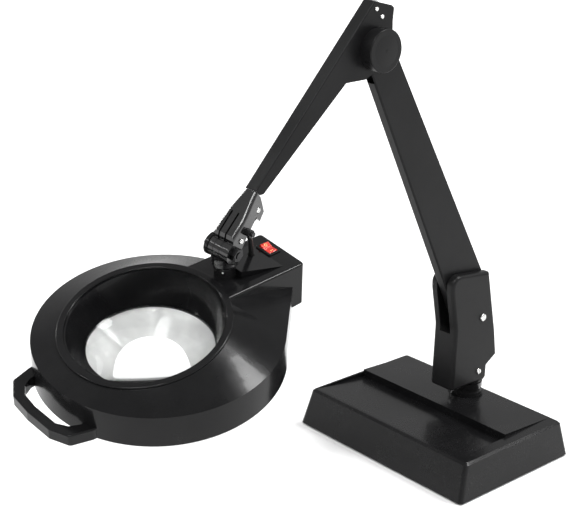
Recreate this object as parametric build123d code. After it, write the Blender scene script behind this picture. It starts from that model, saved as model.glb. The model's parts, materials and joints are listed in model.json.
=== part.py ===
"""Desk magnifying lamp: weighted base, swivel post, two arms, tilting and swivelling head."""
import os
from math import cos, sin, radians, degrees, sqrt, atan2
from build123d import *

os.makedirs("parts", exist_ok=True)

# ---------------------------------------------------------------- driving dimensions (mm)
BASE_L = 254.0
BASE_W = 186.0
BASE_H = 44.5
BASE_INSET_X = 5.5
BASE_INSET_Y = 11.0
COVER_WALL = 3.0
TRAY_X0 = -116.5
TRAY_X1 = 106.5
TRAY_FRONT = -77.0
TRAY_DEPTH = 5.5
PANEL_RISE = 3.5
PANEL_REAR = 78.0
WEIGHT_THICKNESS = 19.0

POST_Y = 55.0
SHAFT_R = 8.0
RUN = 0.05
COLLAR_R = 19.0
COLLAR_NECK_R = 14.6
COLLAR_BREAK = 62.0
COLLAR_TOP = 74.0

SHOULDER_Z = 146.0
SHROUD_W = 34.0
SHROUD_WALL = 2.0
SLOT_HALF = 7.6
CHEEK_T = 3.0
CHEEK_IN = 7.8

ELBOW_Y = -134.5
ELBOW_Z = 478.0
LOWER_W = 12.4
FORE_W = 16.0
SHEET = 1.2
BOLT_R = 4.0
PIN_OFFSET = 16.0

FORE_SLOPE = 48.3
YOKE_Y = -283.3
YOKE_Z = 355.0
YOKE_ROLL = -15.218
BARREL_DROP = 60.2
BARREL_OFFSET = 10.6
EYE_R = 11.0
BELL_R = 13.6
BELL_DROP = 17.0
SLOTS = [(-6.6, -4.8), (1.2, 3.0)]

HEAD_X = (0.9771, 0.0341, -0.2101)
HEAD_N = (0.2132, -0.1971, 0.9569)
STEM_Y = 92.0
STEM_Z = 68.3

SHADE_R_TOP = 121.0
SHADE_R_BOTTOM = 122.5
SHADE_CY = 10.7
SHADE_Z_TOP = 11.6
SHADE_Z_BOTTOM = -21.3
SHADE_WALL = 2.5
RIM_R_OUT = 83.5
RIM_R_IN = 76.5
RIM_CY = -5.5
RIM_Z = 27.9
RIM_TILT = 7.5
TAIL_HALF = 33.0
TAIL_BACK = 167.0
TAIL_Z_BOTTOM = -14.6
LENS_R = 63.5
LENS_SHOW_R = 62.0
LENS_CURVE = 350.0
REFLECTOR_R_LOW = 31.0
REFLECTOR_Z_LOW = -25.0
TUBE_R = 92.0
TUBE_SECTION_R = 14.5
TUBE_CY = 5.0
TUBE_Z = -6.0

LEAD_R = 2.6
SWITCH_X = -7.0
SWITCH_Y = 154.0
ROCK_REST = 9.0

parts = {}


def keep(name, *solids):
    """Store one node, made of one or more separate solids."""
    flat = []
    for item in solids:
        flat.extend(item.solids())
    parts[name] = flat[0] if len(flat) == 1 else Compound(children=flat)


def put(shape, plane):
    return plane.location * shape


def box(x0, x1, y0, y1, z0, z1):
    size = Box(x1 - x0, y1 - y0, z1 - z0)
    return Pos((x0 + x1) / 2, (y0 + y1) / 2, (z0 + z1) / 2) * size


def rod(radius, z0, z1, x=0.0, y=0.0):
    return Pos(x, y, (z0 + z1) / 2) * Cylinder(radius, z1 - z0)


def tube(r_out, r_in, z0, z1, x=0.0, y=0.0):
    return rod(r_out, z0, z1, x, y) - rod(r_in, z0 - 1, z1 + 1, x, y)


def cross_rod(radius, half, y, z):
    """A cylinder along X through (y, z)."""
    return Pos(0, y, z) * Rot(0, 90, 0) * Cylinder(radius, 2 * half)


def cross_span(radius, x0, x1, y, z):
    return Pos((x0 + x1) / 2, y, z) * Rot(0, 90, 0) * Cylinder(radius, x1 - x0)


def cross_ring(r_out, r_in, x0, x1, y, z):
    return cross_span(r_out, x0, x1, y, z) - cross_span(r_in, x0 - 1, x1 + 1, y, z)


def hexagon_prism(across_flats, height):
    return extrude(RegularPolygon(across_flats / sqrt(3), 6), height)


def plate(points, z0, z1):
    """A flat plate with the given outline in local XY, from z0 to z1."""
    face = make_face(Polyline(*points, close=True))
    return Pos(0, 0, z0) * extrude(face, z1 - z0, dir=(0, 0, 1))


def pyramid(x_half, y_half, x_top, y_top, z0, z1):
    low = Pos(0, 0, z0) * Rectangle(2 * x_half, 2 * y_half)
    high = Pos(0, 0, z1) * Rectangle(2 * x_top, 2 * y_top)
    return loft([low, high], ruled=True)


def wedge_x(points, x0, x1):
    """A prism along X whose outline is given as (y, z) points."""
    section = Plane(origin=(x0, 0, 0), x_dir=(0, 1, 0), z_dir=(1, 0, 0))
    face = make_face(Polyline(*points, close=True))
    return section.location * extrude(face, x1 - x0, dir=(0, 0, 1))


def rounded_prism_x(points, radii, x0, x1):
    """A prism along X whose (y, z) outline has a rounding radius at each corner."""
    section = Plane(origin=(x0, 0, 0), x_dir=(0, 1, 0), z_dir=(1, 0, 0))
    face = make_face(FilletPolyline(*points, radius=radii, close=True))
    return section.location * extrude(face, x1 - x0, dir=(0, 0, 1))


def coil(start, end, radius, wire, lead):
    """An extension spring between two pins: a close-wound coil as one rod, with shanks and eyes."""
    length = end[0] - start[0]
    angle = degrees(atan2(end[1] - start[1], length))
    span = sqrt(length ** 2 + (end[1] - start[1]) ** 2)
    spring = Pos(span / 2, 0, 0) * Rot(0, 90, 0) * Cylinder(radius, span - 2 * lead)
    for where, sign in ((0.0, 1), (span, -1)):
        near = where + sign * (lead + 0.3)
        shank_end = where + sign * 4.6
        shank = Rot(0, 90, 0) * Cylinder(wire * 0.4, abs(near - shank_end))
        shank = Pos((shank_end + near) / 2, 0, 0) * shank
        eye = Pos(where, 0, 0) * (Cylinder(5.0, wire) - Cylinder(3.4, wire + 2))
        spring = spring + shank + eye
    return Pos(start[0], start[1], 0) * Rot(0, 0, angle) * spring


# ---------------------------------------------------------------- base
def panel_z(y):
    """Height of the raised rear panel's top at depth y."""
    return BASE_H + PANEL_RISE * (PANEL_REAR - y) / PANEL_REAR


top_x = BASE_L / 2 - BASE_INSET_X
top_y = BASE_W / 2 - BASE_INSET_Y
cover = pyramid(BASE_L / 2, BASE_W / 2, top_x, top_y, 2.0, BASE_H)
cover = fillet(cover.edges().filter_by(lambda e: abs(e.tangent_at(0.5).Z) > 0.5), 5.0)
cover = chamfer(cover.faces().sort_by(Axis.Z)[-1].edges(), 2.5)
tray = wedge_x([(0, BASE_H + 9), (0, BASE_H - TRAY_DEPTH), (TRAY_FRONT, BASE_H + 0.01),
        (TRAY_FRONT, BASE_H + 9)],
               TRAY_X0, TRAY_X1)
panel = wedge_x([(0, BASE_H - 3), (0, panel_z(0)), (PANEL_REAR, BASE_H), (PANEL_REAR, BASE_H - 3)],
                TRAY_X0, TRAY_X1)
cover = cover - tray + panel
boss_top = 47.2
cover = cover + rod(20.5, BASE_H - 4, boss_top, 0, POST_Y)
cavity_top = BASE_H - TRAY_DEPTH - COVER_WALL
slope_x = BASE_INSET_X / BASE_H
slope_y = BASE_INSET_Y / BASE_H
in_x = BASE_L / 2 - COVER_WALL
in_y = BASE_W / 2 - COVER_WALL
cover = cover - pyramid(in_x, in_y, in_x - slope_x * cavity_top, in_y - slope_y * cavity_top, 1.0,
        cavity_top)
cover = cover - rod(12.3, 20, 60, 0, POST_Y)
base_screw_spots = [(sx * 108.0, sy * 74.0) for sx in (-1, 1) for sy in (-1, 1)]
for sx, sy in base_screw_spots:
    cover = cover + (rod(5.0, 4.2, cavity_top + 0.5, sx, sy) - rod(1.7, 3, 20, sx, sy))
grommet_x = 70.0
grommet_z = 14.0
cover = cover - Pos(grommet_x, BASE_W / 2 - 4, grommet_z) * Rot(90, 0, 0) * Cylinder(5.5, 24)
keep("base_cover", cover)

weight_top = cavity_top - 0.5
weight_low = weight_top - WEIGHT_THICKNESS
wx = in_x - 1.2
wy = in_y - 1.2
weight = pyramid(wx - slope_x * weight_low, wy - slope_y * weight_low,
                 wx - slope_x * weight_top, wy - slope_y * weight_top, weight_low, weight_top)
weight = weight - rod(12.5, 0, 60, 0, POST_Y)
weight = weight - rod(24, weight_low - 1, weight_low + 7, 0, POST_Y)
for sx, sy in base_screw_spots:
    weight = weight - rod(6.0, 0, 60, sx, sy)
weight = weight - box(grommet_x - 12, grommet_x + 12, BASE_W / 2 - 26, BASE_W / 2, 0, 24)
keep("base_weight", weight)

bottom = box(-BASE_L / 2 + 4.2, BASE_L / 2 - 4.2, -BASE_W / 2 + 4.2, BASE_W / 2 - 4.2, 2.6, 4.2)
for sx, sy in base_screw_spots:
    bottom = bottom - rod(2.0, 0, 9, sx, sy)
keep("bottom_plate", bottom)

screws = []
for sx, sy in base_screw_spots:
    screws.append(rod(1.65, 2.6, 14.0, sx, sy) + rod(3.6, 1.0, 2.6, sx, sy))
keep("bottom_screws", *screws)

pad = box(-98, 98, -64, 64, 0.0, 2.6)
pad = fillet(pad.edges().filter_by(Axis.Z), 6.0)
keep("base_pad", pad)

socket = tube(12.0, SHAFT_R + RUN, weight_low - 2.5, boss_top, 0, POST_Y)
socket = socket + tube(15.0, SHAFT_R + RUN, cavity_top - 0.5, cavity_top, 0, POST_Y)
keep("post_socket", socket)
grommet = Pos(grommet_x, 0, grommet_z) * Rot(90, 0, 0) * (Cylinder(5.3, 14) - Cylinder(3.2, 20))
flange = Pos(grommet_x, 0, grommet_z) * Rot(90, 0, 0) * (Cylinder(7.5, 2.0) - Cylinder(3.2, 20))
y_face = BASE_W / 2 - slope_y * grommet_z
grommet = Pos(0, y_face - 3.5, 0) * grommet + Pos(0, y_face + 3.6, 0) * flange
keep("cord_grommet", grommet)

# ---------------------------------------------------------------- post, bracket and shroud
collar_z = boss_top + 0.1
shaft = rod(SHAFT_R, weight_low - 2.9, COLLAR_TOP - 6.0, 0, POST_Y)
shaft = shaft + rod(11.5, weight_low - 5.0, weight_low - 2.8, 0, POST_Y)
keep("post_shaft", shaft)

collar = rod(COLLAR_R, collar_z + 9, COLLAR_BREAK, 0, POST_Y)
collar = collar + rod(COLLAR_NECK_R, COLLAR_BREAK, COLLAR_TOP, 0, POST_Y)
collar = collar + rod(COLLAR_R - 2.0, collar_z + 2.0, collar_z + 10, 0, POST_Y)
collar = collar + rod(COLLAR_R, collar_z, collar_z + 3.0, 0, POST_Y)
collar = collar - rod(SHAFT_R, collar_z - 1, COLLAR_TOP - 6.0, 0, POST_Y)
keep("post_collar", collar)


def bracket_cheek(x0, x1):
    outline = [(POST_Y - 15, COLLAR_TOP), (POST_Y + 13, COLLAR_TOP), (POST_Y + 13, 120), (POST_Y + 22, 138),
               (POST_Y + 22, SHOULDER_Z + 12), (POST_Y + 12, SHOULDER_Z + 18),
               (POST_Y - 10, SHOULDER_Z + 14),
               (POST_Y - 15, SHOULDER_Z)]
    return wedge_x(outline, x0, x1)


cheek_out = CHEEK_IN + CHEEK_T
bracket = bracket_cheek(-cheek_out, -CHEEK_IN) + bracket_cheek(CHEEK_IN, cheek_out)
bracket = bracket + box(-cheek_out, cheek_out, POST_Y - 15, POST_Y + 13, COLLAR_TOP, COLLAR_TOP + 8)
lower_screw_z = 77.6
shoulder_angle = atan2(ELBOW_Z - SHOULDER_Z, ELBOW_Y - POST_Y)
arm_dir = (0, cos(shoulder_angle), sin(shoulder_angle))
rear_dir = (0, sin(shoulder_angle), -cos(shoulder_angle))
pin_y = POST_Y + PIN_OFFSET * rear_dir[1]
pin_z = SHOULDER_Z + PIN_OFFSET * rear_dir[2]
for x0, x1 in ((-15.0, -cheek_out), (cheek_out, 15.0)):
    bracket = bracket + cross_span(7.0, x0, x1, POST_Y, SHOULDER_Z)
    bracket = bracket + cross_span(3.5, x0, x1, POST_Y, lower_screw_z)
bracket = bracket - cross_rod(BOLT_R + 0.02, 30, POST_Y, SHOULDER_Z)
bracket = bracket - cross_rod(3.02, 30, pin_y, pin_z)
bracket = bracket - cross_rod(2.5, 30, POST_Y, lower_screw_z)
keep("shoulder_bracket", bracket)
keep("shoulder_spring_pin", cross_rod(3.0, cheek_out, pin_y, pin_z))

shroud_outline = [(10.0, 63.5), (10.0, 140.0), (-0.5, 188.0), (-0.5, 207.4), (62.5, 200.3), (81.2, 123.0),
                  (87.0, 91.0), (70.8, 80.8), (70.8, 66.0), (66.0, 62.5)]
shroud_radii = [3.0, 40.0, 40.0, 12.0, 2.0, 30.0, 1.0, 1.0, 2.0, 2.0]
shroud = rounded_prism_x(shroud_outline, shroud_radii, -SHROUD_W / 2, SHROUD_W / 2)


def shroud_edge(e):
    middle = e.center()
    on_side = abs(abs(middle.X) - SHROUD_W / 2) < 0.01
    ahead = middle.Y < 40 and middle.Z > 66
    return on_side and (ahead or middle.Z > 200)


shroud = fillet(shroud.edges().filter_by(shroud_edge), 4.0)
inner_outline = [(12.0, 50.0), (12.0, 140.4), (1.5, 188.2), (1.5, 205.1), (120.0, 191.7), (120.0, 50.0)]
inner_radii = [2.0, 38.0, 42.0, 10.0, 2.0, 2.0]
hollow = rounded_prism_x(inner_outline, inner_radii, -SHROUD_W / 2 + SHROUD_WALL,
        SHROUD_W / 2 - SHROUD_WALL)


def hollow_edge(e):
    middle = e.center()
    on_side = abs(abs(middle.X) - SHROUD_W / 2 + SHROUD_WALL) < 0.01
    return on_side and middle.Z > 66 and (middle.Y < 40 or middle.Z > 198)


hollow = fillet(hollow.edges().filter_by(hollow_edge), 2.0)
shroud = shroud - hollow
shroud = shroud - box(-SLOT_HALF, SLOT_HALF, -10, 40, 133.5, 230)
shroud = shroud - box(-SLOT_HALF, SLOT_HALF, 30, 70, 185, 230)
shroud = shroud - box(-SLOT_HALF, SLOT_HALF, 60, 100, 108, 230)
shroud = shroud - cross_rod(BOLT_R + 0.02, 30, POST_Y, SHOULDER_Z) - cross_rod(2.52, 30, POST_Y,
        lower_screw_z)
keep("shroud", shroud)


def pan_head(radius, height):
    head = Cylinder(radius, height)
    head = fillet(head.edges().sort_by(Axis.Z)[-1], height * 0.6)
    return head - Pos(0, 0, height / 2) * Box(2.2 * radius, 0.9, 0.9)


def cross_head(radius, height, x, y, z, side):
    turn = Rot(0, 90 * side, 0)
    return Pos(x + side * height / 2, y, z) * turn * pan_head(radius, height)


bolt_end = SHROUD_W / 2
shoulder_bolt = cross_span(BOLT_R, -bolt_end - 5.5, bolt_end, POST_Y, SHOULDER_Z)
shoulder_bolt = shoulder_bolt + cross_head(4.6, 2.4, bolt_end, POST_Y, SHOULDER_Z, 1)
keep("shoulder_bolt", shoulder_bolt)
nut = Pos(-bolt_end - 4.5, POST_Y, SHOULDER_Z) * Rot(0, 90, 0) * hexagon_prism(13, 4.5)
keep("shoulder_nut", nut - cross_rod(BOLT_R, 60, POST_Y, SHOULDER_Z))
shroud_screws = []
for side in (-1, 1):
    x0, x1 = sorted((side * (CHEEK_IN + 0.6), side * bolt_end))
    screw = cross_span(2.5, x0, x1, POST_Y, lower_screw_z)
    shroud_screws.append(screw + cross_head(3.5, 2.0, side * bolt_end, POST_Y, lower_screw_z, side))
keep("shroud_screws", *shroud_screws)
washers = []
for x0, x1 in ((-CHEEK_IN, -LOWER_W / 2 - 0.1), (LOWER_W / 2 + 0.1, CHEEK_IN)):
    washers.append(cross_ring(11.0, BOLT_R + 0.02, x0, x1, POST_Y, SHOULDER_Z))
keep("shoulder_washers", *washers)

# ---------------------------------------------------------------- lower arm
# Local X runs up the arm, local Y to its rear side.
lower_plane = Plane(origin=(0, POST_Y, SHOULDER_Z), x_dir=arm_dir, z_dir=(-1, 0, 0))
LOWER_LEN = sqrt((ELBOW_Y - POST_Y) ** 2 + (ELBOW_Z - SHOULDER_Z) ** 2)


def front_t(s):
    return -25.3 + 0.0374 * (s - 65.4)


def rear_t(s):
    return 31.0 - 0.0215 * (s - 39.5)


def lower_blank(inset, z_half, s_end):
    outline = [(0, front_t(0) + inset), (s_end, front_t(s_end) + inset), (s_end, rear_t(s_end) - inset),
               (30, rear_t(30) - inset), (0, 27 - inset)]
    body = plate(outline, -z_half, z_half)
    return body + Cylinder(27.4 - inset, 2 * z_half)


half = LOWER_W / 2
arm = lower_blank(0, half, LOWER_LEN - 16) + Pos(LOWER_LEN, 0, 0) * Cylinder(20.0, LOWER_W)
arm = arm + plate([(LOWER_LEN - 17, front_t(360)), (LOWER_LEN - 2, -20.0), (LOWER_LEN + 4, 19.5),
                   (LOWER_LEN - 17, rear_t(366))], -half, half)
arm = fillet(arm.edges().filter_by(lambda e: abs(abs(e.center().Z) - half) < 0.01
        and abs(e.tangent_at(0.5).Y) < 0.08
                                   and e.length > 200 and e.center().Y < 0), 2.0)
inner = half - SHEET
pocket = plate([(-60, front_t(0) + SHEET), (LOWER_LEN - 16, front_t(LOWER_LEN - 16) + SHEET),
        (LOWER_LEN + 60, -14),
                (LOWER_LEN + 60, 60), (-60, 60)], -inner, inner)
pocket = pocket + plate([(-60, -60), (8, -60), (8, 60), (-60, 60)], -inner, inner)
pocket = pocket + plate([(LOWER_LEN - 34, -60), (LOWER_LEN + 60, -60), (LOWER_LEN + 60, 60),
        (LOWER_LEN - 34, 60)],
                        -inner, inner)
arm = arm - pocket
ring = Cylinder(PIN_OFFSET + 3.6, 30) - Cylinder(PIN_OFFSET - 3.6, 40)
sweep_low = 50.0
sweep_high = 140.0
sector = plate([(0, 0), (60 * cos(radians(sweep_low)), 60 * sin(radians(sweep_low))), (0, 90),
                (60 * cos(radians(sweep_high)), 60 * sin(radians(sweep_high)))], -15, 15)
arm = arm - (ring & sector)
arm = arm - Cylinder(6.0, 60) - Pos(LOWER_LEN, 0, 0) * Cylinder(6.0, 60)
horn_dir = (-cos(radians(FORE_SLOPE)), -sin(radians(FORE_SLOPE)))
web_dir = (-sin(radians(FORE_SLOPE)), cos(radians(FORE_SLOPE)))
horn_s = LOWER_LEN + PIN_OFFSET * (web_dir[0] * arm_dir[1] + web_dir[1] * arm_dir[2])
horn_t = PIN_OFFSET * (web_dir[0] * rear_dir[1] + web_dir[1] * rear_dir[2])
anchor_s = 236.0
anchor_t = 7.0
keep("lower_arm_channel", put(arm, lower_plane))
strip = plate([(62, rear_t(62) - 2.4), (352, rear_t(352) - 2.4), (352, rear_t(352) - 0.8),
        (62, rear_t(62) - 0.8)],
              -inner + 0.05, inner - 0.05)
keep("lower_arm_cover", put(strip, lower_plane))
shoulder_bush = put(Cylinder(6.0, LOWER_W) - Cylinder(BOLT_R + RUN, 60), lower_plane)
elbow_bush = put(Pos(LOWER_LEN, 0, 0) * (Cylinder(6.0, LOWER_W) - Cylinder(BOLT_R + RUN, 60)), lower_plane)
keep("pivot_bushes", shoulder_bush, elbow_bush)
lower_pins = []
for ps, pt in ((anchor_s, anchor_t), (horn_s, horn_t)):
    lower_pins.append(put(Pos(ps, pt, 0) * Cylinder(2.5, 2 * inner), lower_plane))
keep("lower_arm_pins", *lower_pins)
lower_spring = coil((0, PIN_OFFSET), (anchor_s, anchor_t), 4.2, 1.6, 34.0)
keep("lower_spring", put(lower_spring, lower_plane))

# ---------------------------------------------------------------- forearm
# Local X runs down the arm, local Y towards its web.
fore_dir = (0, horn_dir[0], horn_dir[1])
fore_plane = Plane(origin=(0, ELBOW_Y, ELBOW_Z), x_dir=fore_dir, z_dir=(-1, 0, 0))
WEB_T = 34.8
FORE_END = 191.0
fhalf = FORE_W / 2
fore_outline = [(-32.7, WEB_T), (-44.6, 12.1), (-44.7, 8.0), (-35.2, 0.9), (-28.0, -6.0), (-20.0, -14.0),
                (0, -20.5), (12.0, -19.0), (30.1, -10.6), (48.1, 9.0), (FORE_END - 3, 24.0),
                (FORE_END, 27.0), (FORE_END, WEB_T)]
fore = plate(fore_outline, -fhalf, fhalf)
fore = fillet(fore.edges().filter_by(Axis.Z).filter_by(lambda e: e.center().X < -40
        or 20 < e.center().X < 60), 2.5)
web_edges = fore.edges().filter_by(lambda e: abs(e.center().Y - WEB_T) < 0.01
        and abs(abs(e.center().Z) - fhalf) < 0.01)
fore = fillet(web_edges, 1.4)
fore = fore - box(-80, FORE_END + 10, -60, WEB_T - SHEET, -fhalf + SHEET, fhalf - SHEET)
fore = fore - Cylinder(BOLT_R + 0.02, 60)
rivet_spots = [(-28.7, 27.4), (-28.1, 15.7)]
for rs, rt in rivet_spots:
    fore = fore - Pos(rs, rt, 0) * Cylinder(1.62, 60)
far_s = 150.0
far_t = 27.5
keep("forearm_channel", put(fore, fore_plane))

stud_t = WEB_T - 5.2
block = box(FORE_END - 24, FORE_END, stud_t - 4.0, WEB_T - SHEET, -fhalf + SHEET, fhalf - SHEET)
block = block - Pos(FORE_END - 12, stud_t, 0) * Rot(0, 90, 0) * Cylinder(3.0 + RUN, 40)
keep("forearm_end_block", put(block, fore_plane))


def rivet(s, t):
    shank = Pos(s, t, 0) * Cylinder(1.6, FORE_W)
    heads = []
    for side in (-1, 1):
        dome = Pos(s, t, side * fhalf) * Sphere(2.3)
        half_space = Pos(s, t, side * (fhalf + 5)) * Box(20, 20, 10)
        heads.append((dome & half_space) & (Pos(s, t, side * (fhalf + 0.6)) * Cylinder(2.3, 1.2)))
    return shank + heads[0] + heads[1]


keep("forearm_rivets", *[put(rivet(rs, rt), fore_plane) for rs, rt in rivet_spots])
anchor = box(-36, -21, 11, WEB_T - SHEET - 0.2, -fhalf + SHEET, fhalf - SHEET)
anchor = anchor - box(-40, -15, 0, 40, -3.6, 3.6) + box(-36, -34, 11, WEB_T - SHEET - 0.2, -4, 4)
for rs, rt in rivet_spots:
    anchor = anchor - Pos(rs, rt, 0) * Cylinder(1.6, 60)
keep("elbow_stop", put(anchor, fore_plane))
keep("forearm_spring_pin", put(Pos(far_s, far_t, 0) * Cylinder(2.0, FORE_W - 2 * SHEET), fore_plane))
forearm_spring = coil((0, PIN_OFFSET), (far_s, far_t), 3.9, 1.5, 32.0)
keep("forearm_spring", put(forearm_spring, fore_plane))

bolt_tip = -fhalf - 6.0 - 5.0
elbow_bolt = rod(BOLT_R, bolt_tip, fhalf + 1.0) + Pos(0, 0, fhalf) * hexagon_prism(13, 5.0)
keep("elbow_bolt", put(elbow_bolt, fore_plane))
elbow_washers = []
gap = fhalf - SHEET - half
for side in (-1, 1):
    middle = side * (half + gap / 2)
    elbow_washers.append(put(Pos(0, 0, middle) * (Cylinder(12.0, gap - 0.1)
            - Cylinder(BOLT_R + 0.02, 9)), fore_plane))
keep("elbow_washers", *elbow_washers)
elbow_spacer = Pos(0, 0, -fhalf - 3.0) * (Cylinder(21.0, 6.0) - Cylinder(BOLT_R, 60))
keep("elbow_spacer", put(elbow_spacer, fore_plane))
cap = Pos(0, 0, -fhalf - 6.0 - 4.75) * Cylinder(22.0, 9.5)
rim = cap.edges().sort_by(Axis.Z)[0]
cap = fillet(rim, 1.2)
dome = Pos(0, 0, -fhalf - 15.2 + 180.0) * Sphere(181.0)
cap = cap + (dome & (Pos(0, 0, -fhalf - 15.4) * Cylinder(20.4, 2.4)))
cap = cap - rod(BOLT_R, bolt_tip, 0)
keep("elbow_cap", put(cap, fore_plane))

# ---------------------------------------------------------------- yoke
# Local Z runs down the arm's line, local X along the tilt bolt.
roll = radians(YOKE_ROLL)
fd = Vector(*fore_dir)
tilt_axis = Vector(1, 0, 0) * cos(roll) + fd.cross(Vector(1, 0, 0)) * sin(roll)
yoke_origin = Vector(0, ELBOW_Y, ELBOW_Z) + fd * (FORE_END) + Vector(0, web_dir[0], web_dir[1]) * stud_t
yoke_plane = Plane(origin=yoke_origin, x_dir=tilt_axis, z_dir=fd)
EY = -BARREL_OFFSET
EZ = BARREL_DROP
side_profile = [(5.2, 0.6), (5.2, 49.5), (2.5, 53.0), (EY, EZ + 4), (EY - 7.0, EZ - 6), (-12.5, 38.0),
                (-12.2, 22.0), (-12.2, 18.5), (-21.8, 18.5), (-21.8, 8.0), (-12.0, 3.5), (-4.6, 0.6)]
yoke = wedge_x(side_profile, -12.6, 12.6) + cross_rod(EYE_R, 12.6, EY, EZ)
right_side = [(7.2, 0), (9.0, 12), (11.2, 24), (12.5, 36), (12.7, 50), (12.7, 90)]
left_side = [(-x, z) for x, z in reversed(right_side)]
plan = make_face(Spline(*right_side) + Line(right_side[-1], left_side[0]) + Spline(*left_side)
                 + Line(left_side[-1], right_side[0]))
plan_plane = Plane(origin=(0, 60, 0), x_dir=(1, 0, 0), z_dir=(0, -1, 0))
plan_cut = plan_plane.location * extrude(plan, 120, dir=(0, 0, 1))
yoke = yoke & plan_cut
front_edges = yoke.edges().filter_by(lambda e: abs(e.center().Y - 5.2) < 0.05
        and abs(e.tangent_at(0.5).X) < 0.9)
yoke = fillet(front_edges, 3.6)
for x0, x1 in SLOTS:
    yoke = yoke - box(x0, x1, -60, 60, 26, 90)
yoke = yoke - rod(3.0, -5, 10)
yoke = yoke - cross_rod(3.52, 40, EY, EZ)
CLAMP_Y = -9.0
CLAMP_Z = 36.0
yoke = yoke - cross_rod(2.02, 40, CLAMP_Y, CLAMP_Z)
yoke_screw_spots = [(-11.0, 12.0, 8.0), (-8.0, 47.0, 12.6)]
for ys, zs, xs in yoke_screw_spots:
    yoke = yoke - cross_span(1.5, xs - 4.0, xs + 4, ys, zs) - cross_span(3.3, xs, xs + 10, ys, zs)
GLAND_X = 3.5
GLAND_Y = -17.2
yoke = yoke - rod(2.7, 9.5, 30, GLAND_X, GLAND_Y)
keep("yoke", put(yoke, yoke_plane))
stud = rod(3.0, -24.4, 10.0) + rod(3.8, -27.2, -24.3)
keep("yoke_stud", put(stud, yoke_plane))
yoke_screws = []
for ys, zs, xs in yoke_screw_spots:
    yoke_screws.append(put(cross_span(1.5, xs - 4.0, xs, ys, zs) + cross_head(2.9, 1.8, xs, ys, zs, 1),
            yoke_plane))
keep("yoke_screws", *yoke_screws)
gland = rod(4.2, 18.5, 28.5, GLAND_X, GLAND_Y)
for zg in (20.5, 23.0, 25.5):
    gland = gland - tube(6.0, 3.7, zg, zg + 1.0, GLAND_X, GLAND_Y)
keep("lead_gland", put(gland - rod(2.65, 10, 40, GLAND_X, GLAND_Y), yoke_plane))
tilt_bolt = cross_span(3.5, -13.6, 18.5, EY, EZ)
head_disc = cross_span(11.4, -17.2, -13.4, EY, EZ)
hex_head = Pos(-21.2, EY, EZ) * Rot(0, 90, 0) * hexagon_prism(11, 4.0)
keep("tilt_bolt", put(tilt_bolt + head_disc + hex_head, yoke_plane))
tilt_nut = Pos(12.6, EY, EZ) * Rot(0, 90, 0) * hexagon_prism(12, 5.0) - cross_rod(3.5, 40, EY, EZ)
keep("tilt_nut", put(tilt_nut, yoke_plane))
clamp = cross_span(2.0, -12.0, 20.0, CLAMP_Y, CLAMP_Z) + cross_span(3.9, 12.7, 18.2, CLAMP_Y, CLAMP_Z)
keep("clamp_bolt", put(clamp + cross_span(2.6, 18.0, 20.5, CLAMP_Y, CLAMP_Z), yoke_plane))

# ---------------------------------------------------------------- tilt lug
# Local X runs along the tilt bolt, local Z along the swivel axis.
barrel = yoke_plane.from_local_coords(Vector(0, EY, EZ))
head_n = Vector(*HEAD_N).normalized()
lug_plane = Plane(origin=barrel, x_dir=tilt_axis, z_dir=head_n)
lug = fillet(rod(BELL_R, -BELL_DROP, -5.0).edges().sort_by(Axis.Z)[0], 3.5)
lug = lug - cross_rod(EYE_R + 0.5, 40, 0, 0)
lug = lug - box(-40, 40, -40, 40, -5.2, 20)
for x0, x1 in SLOTS:
    t0 = x0 + 0.2
    t1 = x1 - 0.2
    lug = lug + cross_span(EYE_R - 0.4, t0, t1, 0, 0) + box(t0, t1, -8.0, 8.0, -13.0, -6.0)
lug = lug - cross_rod(3.5 + RUN, 40, 0, 0)
lug = lug - rod(4.5, -20, -13.0)
keep("tilt_lug", put(lug, lug_plane))
keep("swivel_shaft", put(rod(4.5, -49.0, -13.0), lug_plane))
keep("swivel_nut", put(Pos(0, 0, -47.5) * hexagon_prism(15, 7.0) - rod(4.5, -60, 0), lug_plane))

# ---------------------------------------------------------------- head
# Local Z runs along the head's normal, local Y towards the tail.
head_x = Vector(*HEAD_X)
head_x = (head_x - head_n * head_x.dot(head_n)).normalized()
head_y = head_n.cross(head_x)
head_origin = barrel - head_y * STEM_Y - head_n * STEM_Z
head_plane = Plane(origin=head_origin, x_dir=head_x, z_dir=head_n)
rim_plane = Plane(origin=(0, RIM_CY, RIM_Z), x_dir=(1, 0, 0),
                  z_dir=(0, -sin(radians(RIM_TILT)), cos(radians(RIM_TILT))))


def tail_top(y):
    return 39.5 - 0.0585 * (y - 72.0)


def above_tail(wall):
    """Everything above the tail's flat top, as a wedge."""
    outline = [(-200, tail_top(-200) - wall), (200, tail_top(200) - wall), (200, 120), (-200, 120)]
    return wedge_x(outline, -200, 200)


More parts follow.
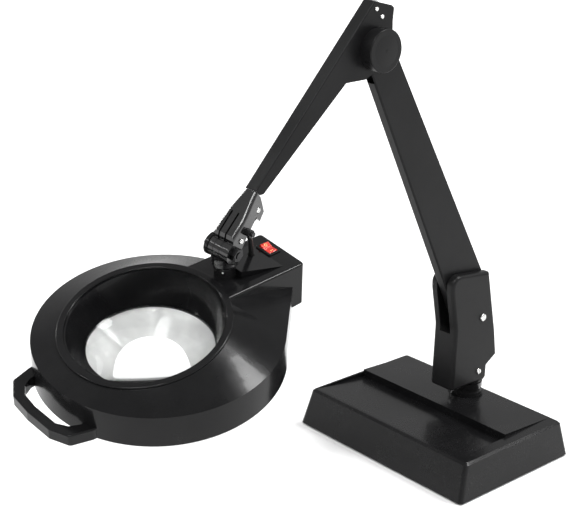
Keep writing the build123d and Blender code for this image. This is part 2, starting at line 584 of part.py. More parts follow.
def shade_solid(wall, z_floor):
    """The shade's outer form, drawn in by wall on every side, open downwards to z_floor."""
    r_top = SHADE_R_TOP - wall
    r_low = SHADE_R_BOTTOM - wall
    z_edge = SHADE_Z_TOP - wall * 0.75
    z_rim = RIM_Z - wall
    tail_half = TAIL_HALF - wall
    skirt = loft([Pos(0, SHADE_CY, z_floor) * Circle(r_low), Pos(0, SHADE_CY, z_edge) * Circle(r_top)],
            ruled=True)
    rim_low = Plane(origin=(0, RIM_CY, z_rim), x_dir=(1, 0, 0), z_dir=rim_plane.z_dir)
    cone = loft([Pos(0, SHADE_CY, z_edge) * Circle(r_top), rim_low.location * Circle(RIM_R_OUT)],
            ruled=True)
    body = skirt + cone
    theta = radians(43.6)
    touch = (r_top * cos(theta), SHADE_CY + r_top * sin(theta))
    corner_y = SHADE_CY + (r_top - tail_half * cos(theta)) / sin(theta)
    d = Vector(-sin(theta), cos(theta), 0)
    a = Vector(touch[0], touch[1], z_edge)
    t = radians(RIM_TILT)
    b = Vector(RIM_R_OUT * cos(theta), RIM_CY + RIM_R_OUT * sin(theta) * cos(t),
            z_rim + RIM_R_OUT * sin(theta) * sin(t))
    normal = d.cross(b - a).normalized()
    for side in (-1, 1):
        outline = [(0, SHADE_CY), (side * touch[0], touch[1]), (side * tail_half, corner_y), (0, corner_y)]
        wedge = plate(outline, z_floor, 60)
        lid = Plane(origin=(side * a.X, a.Y, a.Z), z_dir=(side * normal.X, normal.Y, normal.Z))
        wedge = wedge - lid.location * (Pos(0, 0, 100) * Box(600, 600, 200))
        wedge = wedge - above_tail(wall)
        body = body + wedge
    tail = wedge_x([(40, max(z_floor, TAIL_Z_BOTTOM)), (40, tail_top(40) - wall),
            (TAIL_BACK - wall, tail_top(TAIL_BACK - wall) - wall),
                    (TAIL_BACK - wall, max(z_floor, TAIL_Z_BOTTOM))], -tail_half, tail_half)
    if wall == 0:
        tail = fillet(tail.edges().filter_by(Axis.Z).filter_by(lambda e: e.center().Y > 100), 4.0)
        ridge = tail.edges().filter_by(lambda e: e.center().Z > 30 and abs(e.tangent_at(0.5).Y) > 0.9)
        tail = fillet(ridge, 2.0)
    return body + tail


outer = shade_solid(0.0, SHADE_Z_BOTTOM)
inner_form = shade_solid(SHADE_WALL, SHADE_Z_BOTTOM - 10)
inner_form = inner_form + wedge_x([(115, -40), (115, 0), (TAIL_BACK - SHADE_WALL, 0),
        (TAIL_BACK - SHADE_WALL, -40)],
                                  -TAIL_HALF + SHADE_WALL, TAIL_HALF - SHADE_WALL)
well_cut = rim_plane.location * Cylinder(RIM_R_IN + 3.0, 80)
shade = outer - inner_form

# D-shaped handle moulded to the front of the skirt
handle_pts = [(-57, -80), (-57, -100), (-52, -121), (-34, -132.5), (-8, -134.5), (24, -133),
        (44, -124.5), (51, -104),
              (52, -80)]
hole_pts = [(-46, -60), (-43, -108), (-38, -117), (-28, -123.5), (-8, -125.5), (22, -124), (33, -117.5),
        (38, -108),
            (41, -60)]
handle = plate(handle_pts, SHADE_Z_BOTTOM, SHADE_Z_BOTTOM + 12.0)
handle = fillet(handle.edges().filter_by(Axis.Z), 5.0)
handle = fillet(handle.faces().sort_by(Axis.Z)[-1].edges().filter_by(lambda e: e.center().Y < -95), 1.6)
opening = plate(hole_pts, SHADE_Z_BOTTOM - 5, SHADE_Z_BOTTOM + 40)
opening = fillet(opening.edges().filter_by(Axis.Z), 4.0)
handle = handle - opening - (Pos(0, SHADE_CY, 0) * Cylinder(SHADE_R_TOP - 1.5, 100))
shade = shade + handle
shade = shade - well_cut - rim_plane.location * (Pos(0, 0, 20) * Cylinder(RIM_R_OUT + 0.02, 40))
shade = shade - box(SWITCH_X - 9.7, SWITCH_X + 9.7, SWITCH_Y - 6.5, SWITCH_Y + 6.5, 20, 60)
shade = shade - rod(4.8, 25, 60, 0, STEM_Y)
shade = shade - rod(LEAD_R + 0.9, 20, 60, -7.4, 131.8)
keep("shade", put(shade, head_plane))

# rim and funnel that carry the lens
rim_solid = rim_plane.location * (Pos(0, 0, 1.2) * (Cylinder(RIM_R_OUT, 2.4) - Cylinder(RIM_R_IN, 9)))
rim_solid = fillet(rim_solid.edges().filter_by(GeomType.CIRCLE).sort_by(lambda e: e.center().Z)[-2:], 1.1)
funnel_out = loft([Pos(0, 0, -1.0) * Circle(LENS_SHOW_R + 4.0),
        rim_plane.location * Circle(RIM_R_IN + 2.4)], ruled=True)
funnel_in = loft([Pos(0, 0, -1.0) * Circle(LENS_SHOW_R),
        (rim_plane.location * Pos(0, 0, 3)) * Circle(RIM_R_IN)], ruled=True)
cup = tube(LENS_R + 2.5, LENS_R + 0.1, -9.5, -1.0)
lens_ring = (rim_solid + funnel_out) - funnel_in + cup
keep("lens_ring", put(lens_ring, head_plane))

sag = LENS_CURVE - sqrt(LENS_CURVE ** 2 - LENS_R ** 2)
LENS_EDGE = 3.0
lens_top = -1.35
edge_mid = lens_top - LENS_EDGE / 2
upper = Pos(0, 0, lens_top + sag - LENS_CURVE) * Sphere(LENS_CURVE)
lower = Pos(0, 0, lens_top - LENS_EDGE - sag + LENS_CURVE) * Sphere(LENS_CURVE)
lens = (Pos(0, 0, edge_mid) * Cylinder(LENS_R, 40)) & upper & lower
keep("lens", put(lens, head_plane))
retainer = tube(LENS_R + 0.1, LENS_R - 2.5, -7.6, -4.85)
keep("lens_retainer", put(retainer, head_plane))

# white cone below the lens
z_top = -9.5
cone_out = loft([Pos(0, 0, REFLECTOR_Z_LOW) * Circle(REFLECTOR_R_LOW + 1.6),
        Pos(0, 0, z_top) * Circle(LENS_R + 2.5)], ruled=True)
cone_in = loft([Pos(0, 0, REFLECTOR_Z_LOW) * Circle(REFLECTOR_R_LOW),
        Pos(0, 0, z_top) * Circle(LENS_R + 0.3)], ruled=True)
reflector = cone_out - cone_in
keep("inner_reflector", put(reflector, head_plane))

# circular tube, its base, clips and socket
gap_deg = 22.0
ring_tube = Pos(0, TUBE_CY, TUBE_Z) * Torus(TUBE_R, TUBE_SECTION_R)
gap_cut = plate([(0, 0), (160 * sin(radians(gap_deg / 2)), 160),
        (-160 * sin(radians(gap_deg / 2)), 160)], -60, 60)
lamp = ring_tube - Pos(0, TUBE_CY, 0) * gap_cut
void = Pos(0, TUBE_CY, TUBE_Z) * Torus(TUBE_R, TUBE_SECTION_R - 1.0)
lamp_base = box(-24, 24, TUBE_CY + TUBE_R - 17, TUBE_CY + TUBE_R + 17, TUBE_Z - 14.0, TUBE_Z + 17)
lamp_base = fillet(lamp_base.edges().filter_by(Axis.Z), 3.0) - lamp
gap_wide = 24.0
void_cut = plate([(0, 0), (160 * sin(radians(gap_wide / 2)), 160),
        (-160 * sin(radians(gap_wide / 2)), 160)], -60, 60)
keep("lamp_tube", put(lamp - (void - Pos(0, TUBE_CY, 0) * void_cut), head_plane))
keep("lamp_base", put(lamp_base, head_plane))

clips = []
for angle in (-20.0, 200.0, 270.0):
    place = Pos(0, TUBE_CY, TUBE_Z) * Rot(0, 0, angle) * Pos(TUBE_R, 0, 0) * Rot(90, 0, 0)
    hoop = Cylinder(TUBE_SECTION_R + 1.3, 9.0) - Cylinder(TUBE_SECTION_R + 0.2, 20)
    hoop = hoop - Pos(0, -TUBE_SECTION_R, 0) * Box(20, 14, 20)
    tab = Pos(0, TUBE_SECTION_R + 8.9, 0) * Box(7.0, 16.0, 9.0)
    clip = place * (hoop + tab)
    clips.append(put(clip & inner_form, head_plane))
keep("lamp_clips", *clips)

# ballast and tail cover
ballast = box(-24, 24, 118, 160, -11.0, 12.0)
ballast = fillet(ballast.edges().filter_by(Axis.Z), 2.0)
keep("ballast", put(ballast, head_plane))
tail_cover = box(-TAIL_HALF + SHADE_WALL + 0.1, TAIL_HALF - SHADE_WALL - 0.1, 117,
        TAIL_BACK - SHADE_WALL - 0.1, -13.6, -11.6)
tail_cover = tail_cover - box(-100, 100, 100, 200, -11.0, 0)
tail_cover = tail_cover + box(-TAIL_HALF + SHADE_WALL + 0.1, -25, 118, 160, -11.6, 6) + box(25,
        TAIL_HALF - SHADE_WALL - 0.1, 118, 160, -11.6, 6)
cover_spots = [(-27.7, 126), (27.7, 126), (-27.7, 152), (27.7, 152)]
for cx, cy in cover_spots:
    tail_cover = tail_cover - rod(1.3, -20, 20, cx, cy)
keep("tail_cover", put(tail_cover, head_plane))
cover_screws = [put(rod(1.3, -13.6, -3, cx, cy) + rod(2.5, -15.0, -13.6, cx, cy), head_plane) for cx,
        cy in cover_spots]
keep("tail_screws", *cover_screws)

# raised wedge behind the swivel block
ramp = wedge_x([(99.5, tail_top(99.5)), (99.5, 46.0), (146.0, tail_top(146) + 0.05),
        (146.0, tail_top(146.0))], -40, 40)
ramp_plan = plate([(-15.4, 98), (15.4, 98), (24.2, 147), (-24.2, 147)], 0, 80)
ramp = ramp & ramp_plan
ramp = ramp - rod(LEAD_R + 0.9, 20, 80, -7.4, 131.8)
keep("ramp_panel", put(ramp, head_plane))

# block that carries the swivel shaft
block_top = STEM_Z - BELL_DROP - 0.4
swivel = box(-9.6, 9.6, 84.4, 99.4, 30, block_top)
swivel = fillet(swivel.edges().filter_by(Axis.Z), 3.0)
swivel = chamfer(swivel.faces().sort_by(Axis.Z)[-1].edges(), 1.0)
swivel = swivel & above_tail(0)
swivel = swivel - rod(4.5 + RUN, 0, 90, 0, STEM_Y)
screw_y = 84.4
for sx in (-4.6, 4.6):
    swivel = swivel - Pos(sx, screw_y + 2.5, 46.5) * Rot(90, 0, 0) * Cylinder(1.5, 6)
keep("swivel_block", put(swivel, head_plane))
block_screws = []
for sx in (-4.6, 4.6):
    shank = Pos(sx, screw_y + 2.0, 46.5) * Rot(90, 0, 0) * Cylinder(1.5, 4)
    head = Pos(sx, screw_y - 0.7, 46.5) * Rot(90, 0, 0) * Cylinder(2.5, 1.4)
    block_screws.append(put(shank + head, head_plane))
keep("block_screws", *block_screws)
under = wedge_x([(60, tail_top(60) - SHADE_WALL - 2.5), (120, tail_top(120) - SHADE_WALL - 2.5),
                 (120, tail_top(120) - SHADE_WALL), (60, tail_top(60) - SHADE_WALL)], -16, 16)
under = under & box(-16, 16, 84, 112, 20, 50)
keep("swivel_plate", put(under - rod(4.5 + RUN, 0, 90, 0, STEM_Y), head_plane))

# short lead from the yoke's gland into the ramp panel
def yoke_point(x, y, z):
    return yoke_plane.from_local_coords(Vector(x, y, z))


def head_point(x, y, z):
    return head_plane.from_local_coords(Vector(x, y, z))


lead_start = yoke_point(GLAND_X, GLAND_Y, 9.6)
lead_turn = yoke_point(GLAND_X, GLAND_Y, 36.0)
lead_low = head_point(-6.5, 129.5, 54.0)
lead_end = head_point(-7.5, 132.0, 34.0)
lead_path = FilletPolyline(lead_start, lead_turn, lead_low, lead_end, radius=[9.0, 12.0])
lead_ring = Plane(origin=lead_start, z_dir=(lead_turn - lead_start)).location * Circle(LEAD_R)
keep("head_lead", sweep(lead_ring, path=lead_path))

# rocker switch
switch_z = tail_top(SWITCH_Y)
switch_plane = Plane(origin=(SWITCH_X, SWITCH_Y, switch_z), x_dir=(1, 0, 0), z_dir=(0, 0.0584, 0.9983))
bezel = box(-10.6, 10.6, -7.5, 7.5, 0.0, 1.6)
bezel = fillet(bezel.edges().filter_by(Axis.Z), 1.0)
bezel = chamfer(bezel.faces().sort_by(Axis.Z)[-1].edges(), 0.5)
can = box(-9.5, 9.5, -6.2, 6.2, -14.0, 0.0)
switch = bezel + can - box(-8.7, 8.7, -5.5, 5.5, -8.0, 5.0)
pivot_z = -1.5
switch = switch - Pos(0, 0, pivot_z) * Rot(90, 0, 0) * Cylinder(0.8 + RUN, 12.0)
keep("switch_body", put(put(switch, switch_plane), head_plane))
rock_face = make_face(Polyline((-7.6, 2.9), (0, 1.3), (7.6, 2.9), (7.1, -3.4), (-7.1, -3.4), close=True))
section_y = Plane(origin=(0, 5.2, 0), x_dir=(1, 0, 0), z_dir=(0, -1, 0))
rocker = section_y.location * extrude(rock_face, 10.4)
rocker = fillet(rocker.edges().filter_by(Axis.Y).filter_by(lambda e: e.center().Z > 2), 0.5)
rocker = rocker + Pos(0, 0, pivot_z) * Rot(90, 0, 0) * Cylinder(0.8, 11.8)
pivot = Pos(0, 0, pivot_z)
rest = pivot * Rot(0, ROCK_REST, 0) * Pos(0, 0, -pivot_z)
slope = degrees(atan2(1.6, 7.6))
mark_o = Pos(-4.6, 0, 2.2) * Rot(0, slope, 0) * (Cylinder(1.7, 0.4) - Cylinder(1.2, 1))
mark_i = Pos(4.6, 0, 2.2) * Rot(0, -slope, 0) * Box(0.6, 3.4, 0.4)
rocker = rocker - mark_o - mark_i
keep("rocker", put(put(rest * rocker, switch_plane), head_plane))
keep("rocker_marks", put(put(rest * mark_o, switch_plane), head_plane),
        put(put(rest * mark_i, switch_plane), head_plane))

for name, shape in parts.items():
    shape.label = name
    export_step(shape, f"parts/{name}.step")
    print(f"{name:22s} solids {len(shape.solids())} volume {shape.volume / 1000:9.2f} cm3")
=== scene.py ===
import bpy
import bmesh
import json
import math
from mathutils import Matrix, Vector


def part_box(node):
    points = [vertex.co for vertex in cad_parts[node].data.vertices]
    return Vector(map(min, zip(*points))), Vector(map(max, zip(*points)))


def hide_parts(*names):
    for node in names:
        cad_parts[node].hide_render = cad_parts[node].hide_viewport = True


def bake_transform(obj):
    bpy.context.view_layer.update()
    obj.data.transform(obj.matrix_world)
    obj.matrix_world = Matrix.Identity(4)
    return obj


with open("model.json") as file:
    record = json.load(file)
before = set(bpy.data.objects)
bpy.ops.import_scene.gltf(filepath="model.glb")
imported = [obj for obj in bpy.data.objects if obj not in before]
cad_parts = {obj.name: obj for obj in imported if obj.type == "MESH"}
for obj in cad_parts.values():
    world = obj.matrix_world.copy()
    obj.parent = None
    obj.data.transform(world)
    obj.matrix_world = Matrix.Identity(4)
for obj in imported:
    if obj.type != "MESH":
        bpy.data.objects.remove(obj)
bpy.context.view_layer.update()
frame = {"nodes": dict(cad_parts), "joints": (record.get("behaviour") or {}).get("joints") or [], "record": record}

record = frame["record"]
nodes = frame["nodes"]
joints = {j["name"]: j for j in frame["joints"]}


# ---------------------------------------------------------------- camera
CAMERA_AT = Vector((0.9385178, -1.0897492, 0.7311085))
AZIMUTH, ELEVATION, ROLL = math.radians(47.73), math.radians(19.588), math.radians(1.61)
LENS_MM, SENSOR_MM = 84.375, 36.0


def make_camera():
    back = Vector((math.sin(AZIMUTH) * math.cos(ELEVATION), -math.cos(AZIMUTH) * math.cos(ELEVATION),
                   math.sin(ELEVATION)))
    side = Vector((0, 0, 1)).cross(back).normalized()
    up = back.cross(side)
    cam_x = side * math.cos(ROLL) + up * math.sin(ROLL)
    cam_y = up * math.cos(ROLL) - side * math.sin(ROLL)
    turn = Matrix((cam_x, cam_y, back)).transposed()
    data = bpy.data.cameras.new("camera")
    data.sensor_width = SENSOR_MM
    data.lens = LENS_MM
    data.clip_start, data.clip_end = 0.05, 200.0
    cam = bpy.data.objects.new("camera", data)
    cam.matrix_world = Matrix.Translation(CAMERA_AT) @ turn.to_4x4()
    bpy.context.scene.collection.objects.link(cam)
    bpy.context.scene.camera = cam


make_camera()


# ---------------------------------------------------------------- materials
def new_material(name):
    mat = bpy.data.materials.new(name)
    mat.use_nodes = True
    tree = mat.node_tree
    return mat, tree, tree.nodes["Principled BSDF"]


def noise(tree, scale, detail=3.0, rough=0.55, stretch=None):
    coord = tree.nodes.new("ShaderNodeTexCoord")
    source = coord.outputs["Object"]
    if stretch:
        mapping = tree.nodes.new("ShaderNodeMapping")
        mapping.inputs["Scale"].default_value = stretch
        tree.links.new(source, mapping.inputs["Vector"])
        source = mapping.outputs["Vector"]
    tex = tree.nodes.new("ShaderNodeTexNoise")
    tex.inputs["Scale"].default_value = scale
    tex.inputs["Detail"].default_value = detail
    tex.inputs["Roughness"].default_value = rough
    tree.links.new(source, tex.inputs["Vector"])
    return tex.outputs["Fac"]


def ranged(tree, source, low, high, from_low=0.35, from_high=0.65):
    """Map the middle of a noise to the range from low to high."""
    node = tree.nodes.new("ShaderNodeMapRange")
    node.inputs["From Min"].default_value = from_low
    node.inputs["From Max"].default_value = from_high
    node.inputs["To Min"].default_value = low
    node.inputs["To Max"].default_value = high
    tree.links.new(source, node.inputs["Value"])
    return node.outputs["Result"]


def two_tone(tree, source, dark, light):
    ramp = tree.nodes.new("ShaderNodeValToRGB")
    ramp.color_ramp.elements[0].position = 0.35
    ramp.color_ramp.elements[1].position = 0.65
    ramp.color_ramp.elements[0].color = (*dark, 1)
    ramp.color_ramp.elements[1].color = (*light, 1)
    tree.links.new(source, ramp.inputs["Fac"])
    return ramp.outputs["Color"]


def bump(tree, shader, layers):
    """Stack bump layers: (height source, strength, distance in metres)."""
    last = None
    for source, strength, distance in layers:
        node = tree.nodes.new("ShaderNodeBump")
        node.inputs["Strength"].default_value = strength
        node.inputs["Distance"].default_value = distance
        tree.links.new(source, node.inputs["Height"])
        if last:
            tree.links.new(last, node.inputs["Normal"])
        last = node.outputs["Normal"]
    tree.links.new(last, shader.inputs["Normal"])


COAT_ROUGHNESS = 0.05
FINE_SHARE, SLOW_SHARE = 0.45, 0.55


def finish_material(name, dark, light, metallic, rough, grain, relief, spec=0.5, coat=0.0, patch=18.0,
                    stretch=None):
    """A surface with slow colour and gloss variation over fine relief.

    rough is the range of roughness, grain the fine noise's scale, relief its depth in metres, and patch the
    slow noise's scale.
    """
    mat, tree, shader = new_material(name)
    shader.inputs["Metallic"].default_value = metallic
    shader.inputs["Specular IOR Level"].default_value = spec
    shader.inputs["Coat Weight"].default_value = coat
    shader.inputs["Coat Roughness"].default_value = COAT_ROUGHNESS
    slow = noise(tree, patch, 4.0, 0.6)
    fine = noise(tree, grain, 3.0, 0.6, stretch)
    tree.links.new(two_tone(tree, slow, dark, light), shader.inputs["Base Color"])
    slow_part = tree.nodes.new("ShaderNodeMath")
    slow_part.operation = "MULTIPLY"
    slow_part.inputs[1].default_value = SLOW_SHARE
    tree.links.new(slow, slow_part.inputs[0])
    mixed = tree.nodes.new("ShaderNodeMath")
    mixed.operation = "MULTIPLY_ADD"
    mixed.inputs[1].default_value = FINE_SHARE
    tree.links.new(fine, mixed.inputs[0])
    tree.links.new(slow_part.outputs[0], mixed.inputs[2])
    tree.links.new(ranged(tree, mixed.outputs[0], rough[0], rough[1]), shader.inputs["Roughness"])
    bump(tree, shader, [(fine, 0.5, relief), (slow, 0.25, relief * 2.5)])
    return mat


def lens_material():
    mat, tree, shader = new_material("lens_glass")
    shader.inputs["Base Color"].default_value = (0.985, 0.995, 0.99, 1)
    shader.inputs["Transmission Weight"].default_value = 1.0
    shader.inputs["IOR"].default_value = 1.52
    dust = noise(tree, 260.0, 4.0, 0.7)
    tree.links.new(ranged(tree, dust, 0.0, 0.03, 0.5, 0.9), shader.inputs["Roughness"])
    return mat


def tube_material():
    mat, tree, shader = new_material("tube_glass")
    slow = noise(tree, 30.0, 3.0, 0.6)
    tree.links.new(two_tone(tree, slow, (0.86, 0.87, 0.86), (0.92, 0.92, 0.91)), shader.inputs["Base Color"])
    tree.links.new(ranged(tree, slow, 0.12, 0.2), shader.inputs["Roughness"])
    shader.inputs["Coat Weight"].default_value = 0.6
    shader.inputs["Emission Color"].default_value = (1.0, 0.98, 0.94, 1)
    shader.inputs["Emission Strength"].default_value = 1.5
    bump(tree, shader, [(noise(tree, 900.0), 0.2, 0.00002)])
    return mat


def cone_material_painted_glow():
    """White cone with a painted glow: emission, in streaks that run down the cone, stands in for the light that
    falls on it.
    """
    mat, tree, shader = new_material("white_enamel")
    slow = noise(tree, 26.0, 3.0, 0.6, (1, 1, 0.2))
    white = two_tone(tree, slow, (0.74, 0.74, 0.735), (0.84, 0.84, 0.835))
    tree.links.new(white, shader.inputs["Base Color"])
    tree.links.new(ranged(tree, slow, 0.16, 0.3), shader.inputs["Roughness"])
    shader.inputs["Coat Weight"].default_value = 0.5
    # painted light: the cone is no lamp, this emission paints the light that falls on it, in slow streaks
    shader.inputs["Emission Color"].default_value = (1.0, 1.0, 0.995, 1)
    tree.links.new(ranged(tree, slow, 0.08, 0.24), shader.inputs["Emission Strength"])
    bump(tree, shader, [(noise(tree, 700.0), 0.3, 0.00003)])
    return mat


# name: darker colour, lighter colour, metallic, roughness, grain, relief, and what differs from the usual
BLACK = (0.0042, 0.0042, 0.0045)
BLACK_2 = (0.0068, 0.0068, 0.0072)
FINISHES = {
    "gloss_black": (BLACK, BLACK_2, 0.0, (0.13, 0.2), 900.0, 0.00003, dict(spec=0.13, coat=0.1)),
    "textured_black": (BLACK, BLACK_2, 0.0, (0.2, 0.3), 520.0, 0.00012, dict(spec=0.15, coat=0.08)),
    "edge_black": (BLACK, BLACK_2, 0.0, (0.12, 0.2), 900.0, 0.00002, dict(spec=0.5, coat=0.7)),
    "polished_black": (BLACK, BLACK_2, 0.0, (0.08, 0.16), 600.0, 0.00003, dict(spec=0.4, coat=0.4)),
    "arm_paint": ((0.005, 0.005, 0.0053), (0.008, 0.008, 0.0084), 0.0, (0.28, 0.4), 1500.0, 0.00005,
                  dict(spec=0.14)),
    "black_plastic": ((0.0055, 0.0055, 0.0058), (0.0085, 0.0085, 0.0088), 0.0, (0.3, 0.42), 1300.0, 0.00005,
                      dict(spec=0.16)),
    "cast_black": ((0.005, 0.005, 0.0052), (0.009, 0.009, 0.0094), 0.0, (0.12, 0.24), 420.0, 0.00005,
                   dict(spec=0.5, coat=0.4)),
    "dark_steel": ((0.02, 0.02, 0.021), (0.04, 0.04, 0.041), 0.8, (0.16, 0.3), 500.0, 0.00004, dict()),
    "rubber": ((0.012, 0.012, 0.012), (0.02, 0.02, 0.02), 0.0, (0.6, 0.8), 900.0, 0.0001, dict(spec=0.3)),
    "cord_black": ((0.008, 0.008, 0.008), (0.014, 0.014, 0.014), 0.0, (0.4, 0.55), 1200.0, 0.00005,
                   dict(spec=0.4)),
    "iron": ((0.07, 0.07, 0.072), (0.13, 0.125, 0.12), 0.7, (0.5, 0.75), 350.0, 0.0002, dict()),
    "zinc_steel": ((0.42, 0.43, 0.44), (0.56, 0.56, 0.55), 1.0, (0.28, 0.45), 220.0, 0.00004, dict()),
    "turned_steel": ((0.5, 0.5, 0.5), (0.62, 0.62, 0.61), 1.0, (0.16, 0.3), 1400.0, 0.00003,
                     dict(stretch=(1, 1, 12))),
    "bright_steel": ((0.66, 0.66, 0.65), (0.8, 0.8, 0.79), 1.0, (0.1, 0.2), 900.0, 0.00002, dict()),
    "spring_steel": ((0.32, 0.32, 0.33), (0.5, 0.5, 0.5), 1.0, (0.25, 0.4), 900.0, 0.00003, dict()),
    "nylon": ((0.66, 0.64, 0.58), (0.76, 0.74, 0.68), 0.0, (0.4, 0.55), 800.0, 0.00005, dict()),
    "white_plastic": ((0.7, 0.7, 0.68), (0.78, 0.78, 0.76), 0.0, (0.35, 0.5), 900.0, 0.00004, dict()),
    "red_rocker": ((0.55, 0.012, 0.006), (0.7, 0.03, 0.012), 0.0, (0.14, 0.24), 1200.0, 0.00002,
                   dict(coat=0.3, patch=120.0)),
    "mark_yellow": ((0.85, 0.62, 0.2), (0.95, 0.75, 0.32), 0.0, (0.4, 0.5), 2000.0, 0.00001,
                    dict(patch=600.0)),
}
mats = {}
for name, (dark, light, metallic, rough, grain, relief, special) in FINISHES.items():
    mats[name] = finish_material(name, dark, light, metallic, rough, grain, relief, **special)
mats["white_enamel"] = cone_material_painted_glow()
mats["lens_glass"] = lens_material()
mats["tube_glass"] = tube_material()


def dress(obj, slot):
    obj.data.materials.clear()
    obj.data.materials.append(mats[slot])


for entry in record["subparts"]:
    dress(nodes[entry["node"]], entry["material_slot"])


# ---------------------------------------------------------------- edges of the CAD solids
EDGE_ANGLE = 35.0
SMOOTH_ANGLE = 32.0
EDGE_WIDTHS = {"forearm_channel": 0.0005, "lower_arm_channel": 0.0005, "ramp_panel": 0.0009, "yoke": 0.0006,
               "shade": 0.0008, "base_cover": 0.0008}


def soften(obj, width):
    """Round the sharp edges, in a glossier paint than the faces, as thick paint pools there."""
    obj.data.materials.append(mats["edge_black"])
    mod = obj.modifiers.new("edge", "BEVEL")
    mod.width = width
    mod.segments = 2
    mod.limit_method = "ANGLE"
    mod.angle_limit = math.radians(EDGE_ANGLE)
    mod.miter_outer = "MITER_ARC"
    mod.material = 1


def even_normals(obj):
    """Shade flat faces flat beside rounded ones."""
    mod = obj.modifiers.new("normals", "WEIGHTED_NORMAL")
    mod.weight = 100
    mod.keep_sharp = True


def smooth(obj, angle=SMOOTH_ANGLE):
    for poly in obj.data.polygons:
        poly.use_smooth = True
    obj.data.set_sharp_from_angle(angle=math.radians(angle))


for name, obj in nodes.items():
    smooth(obj)
    if name in EDGE_WIDTHS:
        soften(obj, EDGE_WIDTHS[name])
    even_normals(obj)


# ---------------------------------------------------------------- tubes along a line of points
def tube_along(name, points, radius, sides, slot):
    """A closed tube that follows the points, with its section carried along without twist."""
    bm = bmesh.new()
    rings = []
    tangent = (points[1] - points[0]).normalized()
    normal = tangent.orthogonal().normalized()
    for i, p in enumerate(points):
        ahead = points[min(i + 1, len(points) - 1)]
        behind = points[max(i - 1, 0)]
        tangent = (ahead - behind).normalized()
        normal = (normal - tangent * normal.dot(tangent)).normalized()
        other = tangent.cross(normal)
        ring = []
        for k in range(sides):
            a = 2 * math.pi * k / sides
            ring.append(bm.verts.new(p + (normal * math.cos(a) + other * math.sin(a)) * radius))
        rings.append(ring)
    for low, high in zip(rings, rings[1:]):
        for k in range(sides):
            bm.faces.new((low[k], low[(k + 1) % sides], high[(k + 1) % sides], high[k]))
    bm.faces.new(list(reversed(rings[0])))
    bm.faces.new(rings[-1])
    bmesh.ops.recalc_face_normals(bm, faces=bm.faces)
    mesh = bpy.data.meshes.new(name)
    bm.to_mesh(mesh)
    bm.free()
    obj = bpy.data.objects.new(name, mesh)
    bpy.context.scene.collection.objects.link(obj)
    dress(obj, slot)
    smooth(obj, 50.0)
    return obj


def middle(points):
    low = Vector((min(p[k] for p in points) for k in range(3)))
    high = Vector((max(p[k] for p in points) for k in range(3)))
    return (low + high) / 2


def centre(name):
    low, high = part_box(name)
    return (low + high) / 2


# ---------------------------------------------------------------- springs, as wound wire
EYE_R = 0.0042
EYE_STEPS = 20
EYE_FIRST_ANGLE = 200
EYE_TURN = 0.93
COIL_STEPS = 14
COIL_PITCH = 2.08
WIRE_SIDES = 8
PIN_ZONE = 0.04


def spring_eye(at, along, up, sense):
    points = []
    for k in range(EYE_STEPS + 1):
        a = math.radians(EYE_FIRST_ANGLE + sense * 360 * k / EYE_STEPS * EYE_TURN)
        points.append(at + (along * math.cos(a) + up * math.sin(a)) * EYE_R)
    return points


def spring_path(start, end, coil_r, wire_r, shank):
    """Eye, shank, close coil, shank, eye, as one line of points; the eyes lie in the plane of the arm."""
    along = (end - start).normalized()
    side = Vector((1, 0, 0))
    up = side.cross(along).normalized()
    coil_length = (end - start).length - 2 * shank
    turns = coil_length / (COIL_PITCH * wire_r)
    steps = int(turns * COIL_STEPS)
    points = spring_eye(start, along, up, -1)
    points.append(start + along * (EYE_R + 2 * wire_r))
    points.append(start + along * (shank - 3 * wire_r))
    for k in range(steps + 1):
        t = k / steps
        a = 2 * math.pi * turns * t
        offset = (up * math.cos(a) + side * math.sin(a)) * (coil_r - wire_r)
        points.append(start + along * (shank + coil_length * t) + offset)
    points.append(end - along * (shank - 3 * wire_r))
    points.append(end - along * (EYE_R + 2 * wire_r))
    points.extend(spring_eye(end, along, up, 1))
    return points


def make_spring(name, start, end, coil_r, wire_r, shank):
    path = spring_path(start, end, coil_r, wire_r, shank)
    return tube_along(name, path, wire_r, WIRE_SIDES, "spring_steel")


elbow_at = Vector(joints["elbow"]["pos_m"])
arm_pins = [v.co for v in nodes["lower_arm_pins"].data.vertices]
horn_pin = middle([p for p in arm_pins if (p - elbow_at).length < PIN_ZONE])
anchor_pin = middle([p for p in arm_pins if (p - elbow_at).length >= PIN_ZONE])
shoulder_pin = centre("shoulder_spring_pin")
forearm_pin = centre("forearm_spring_pin")

lower_coil = make_spring("lower_spring_wire", shoulder_pin, anchor_pin, 0.0042, 0.0008, 0.034)
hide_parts("lower_spring")
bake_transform(lower_coil)

forearm_coil = make_spring("forearm_spring_wire", horn_pin, forearm_pin, 0.0039, 0.00075, 0.032)
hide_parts("forearm_spring")
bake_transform(forearm_coil)


# ---------------------------------------------------------------- lead from the yoke's gland into the head
LEAD_R = 0.0026
LEAD_SIDES = 20
STEM_Y = 0.092
BARREL_Z = 0.0683

yoke_at = Vector(joints["yoke_roll"]["pos_m"])
yoke_z = Vector(joints["yoke_roll"]["axis"]).normalized()
yoke_x = Vector(joints["head_tilt"]["axis"]).normalized()
yoke_y = yoke_z.cross(yoke_x)
barrel_at = Vector(joints["head_tilt"]["pos_m"])
head_z = Vector(joints["head_swivel"]["axis"]).normalized()
rocker_axis = Vector(joints["rocker_press"]["axis"])
head_y = (rocker_axis - head_z * rocker_axis.dot(head_z)).normalized()
head_x = head_y.cross(head_z)
head_at = barrel_at - head_y * STEM_Y - head_z * BARREL_Z


def yoke_point(x, y, z):
    """A place in the yoke's own frame, in millimetres."""
    return yoke_at + (yoke_x * x + yoke_y * y + yoke_z * z) / 1000


def head_point(x, y, z):
    """A place in the head's own frame, in millimetres."""
    return head_at + (head_x * x + head_y * y + head_z * z) / 1000


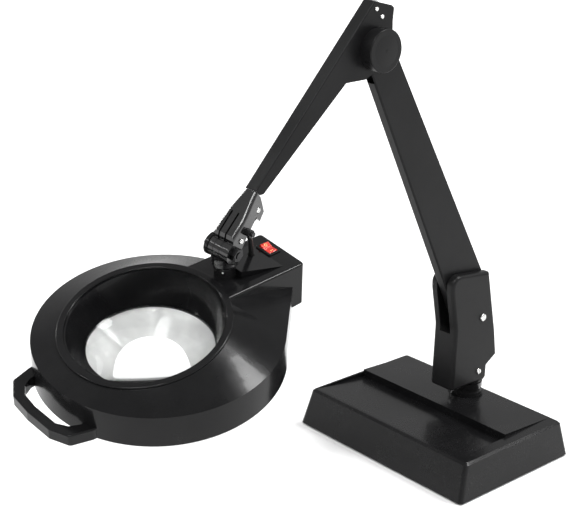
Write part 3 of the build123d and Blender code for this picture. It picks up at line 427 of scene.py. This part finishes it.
def curve_points(route):
    """Points along one smooth curve that the route's points pull."""
    data = bpy.data.curves.new("lead_line", "CURVE")
    data.dimensions = "3D"
    data.resolution_u = 12
    spline = data.splines.new("NURBS")
    spline.points.add(len(route) - 1)
    for point, place in zip(spline.points, route):
        point.co = (*place, 1)
    spline.order_u = 4
    spline.use_endpoint_u = True
    line = bpy.data.objects.new("lead_line", data)
    bpy.context.scene.collection.objects.link(line)
    bpy.context.view_layer.update()
    mesh = bpy.data.meshes.new_from_object(line)
    points = [v.co.copy() for v in mesh.vertices]
    bpy.data.objects.remove(line)
    return points


def make_lead():
    """Two tubes that meet at one point, as each can bend across one joint only."""
    points = curve_points([
        yoke_point(3.5, -17.2, 9.6), yoke_point(3.5, -17.2, 24.0), yoke_point(3.5, -17.2, 34.5),
        head_point(-2.5, 125.5, 68.0), head_point(-6.5, 130.0, 55.0), head_point(-7.3, 131.6, 46.0),
        head_point(-7.5, 132.0, 34.0)])
    split = len(points) * 13 // 20
    upper = tube_along("head_lead_upper", points[:split + 1], LEAD_R, LEAD_SIDES, "cord_black")
    lower = tube_along("head_lead_lower", points[split:], LEAD_R, LEAD_SIDES, "cord_black")
    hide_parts("head_lead")
    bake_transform(upper)
    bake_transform(lower)


make_lead()


# ---------------------------------------------------------------- floor and light
FLOOR_SIZE = 60.0
FLOOR_DROP = 0.0002
WORLD_STRENGTH = 0.58


def make_floor():
    bm = bmesh.new()
    bmesh.ops.create_grid(bm, x_segments=8, y_segments=8, size=FLOOR_SIZE)
    mesh = bpy.data.meshes.new("floor")
    bm.to_mesh(mesh)
    bm.free()
    obj = bpy.data.objects.new("floor", mesh)
    obj.location = (0, 0, -FLOOR_DROP)
    bpy.context.scene.collection.objects.link(obj)
    mat, tree, shader = new_material("floor_pale")
    slow = noise(tree, 1.2, 2.0, 0.5)
    tree.links.new(two_tone(tree, slow, (0.86, 0.86, 0.86), (0.88, 0.88, 0.88)), shader.inputs["Base Color"])
    shader.inputs["Roughness"].default_value = 0.85
    shader.inputs["Specular IOR Level"].default_value = 0.1
    mesh.materials.append(mat)


def sun_light(name, toward, strength, width):
    """A distant light that stands in the direction toward; width is its angle across, in degrees."""
    data = bpy.data.lights.new(name, "SUN")
    data.energy = strength
    data.angle = math.radians(width)
    obj = bpy.data.objects.new(name, data)
    obj.location = Vector(toward) * 3.0
    obj.rotation_euler = Vector(toward).to_track_quat("Z", "Y").to_euler()
    bpy.context.scene.collection.objects.link(obj)


make_floor()
sun_light("front", (0.16, -0.5, 0.85), 1.15, 18.0)
sun_light("left", (-0.9, -0.15, 0.4), 0.5, 6.0)
sun_light("glint_front", (-0.35, -0.75, 0.56), 0.22, 2.5)
sun_light("glint_right", (0.45, 0.33, 0.83), 0.2, 3.0)
sun_light("glint_cone", (0.2, 0.41, 0.887), 1.2, 13.0)
sun_light("glint_edges", (0.5, -0.45, 0.74), 0.5, 9.0)
sun_light("right", (0.45, 0.55, 0.7), 1.4, 15.0)

world = bpy.data.worlds.new("studio")
bpy.context.scene.world = world
world.use_nodes = True
background = world.node_tree.nodes["Background"]
background.inputs["Color"].default_value = (1.0, 1.0, 1.0, 1)
background.inputs["Strength"].default_value = WORLD_STRENGTH
bpy.context.scene.view_settings.view_transform = "Standard"
